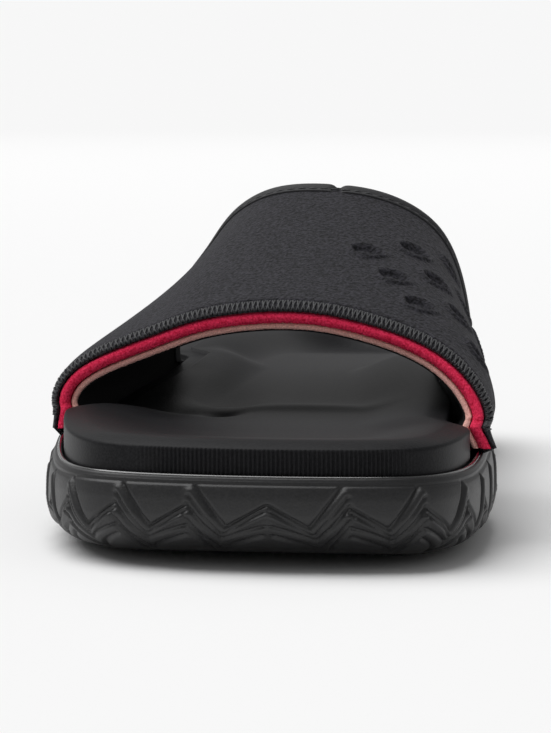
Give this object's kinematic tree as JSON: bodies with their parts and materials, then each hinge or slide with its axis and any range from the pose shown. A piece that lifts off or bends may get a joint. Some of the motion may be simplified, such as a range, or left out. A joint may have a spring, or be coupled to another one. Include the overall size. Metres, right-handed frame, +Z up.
{
  "type": "sport slide sandal",
  "caption": "Right-foot sport slide: black rubber cup outsole with chevron side wall, dished foam footbed and one wide three-layer strap edged in red felt.",
  "frame": {"origin": "on the floor, at the centre of the sole's box", "axes": "+Z up, -Y towards the toe, +Y towards the heel, +X towards the medial (big toe) side, -X towards the lateral side"},
  "size_m": [0.112, 0.2849, 0.0809],
  "materials": {
    "outsole_rubber": "satin moulded rubber",
    "footbed_foam": "satin moulded foam",
    "strap_cloth": "matt coated cloth",
    "strap_felt": "matt felt",
    "strap_lining": "matt brushed cloth"
  },
  "bodies": {
    "root": {"outsole": "outsole_rubber", "footbed": "footbed_foam", "upper": "strap_cloth", "upper_midlayer": "strap_felt", "upper_lining": "strap_lining"}
  },
  "joints": []
}
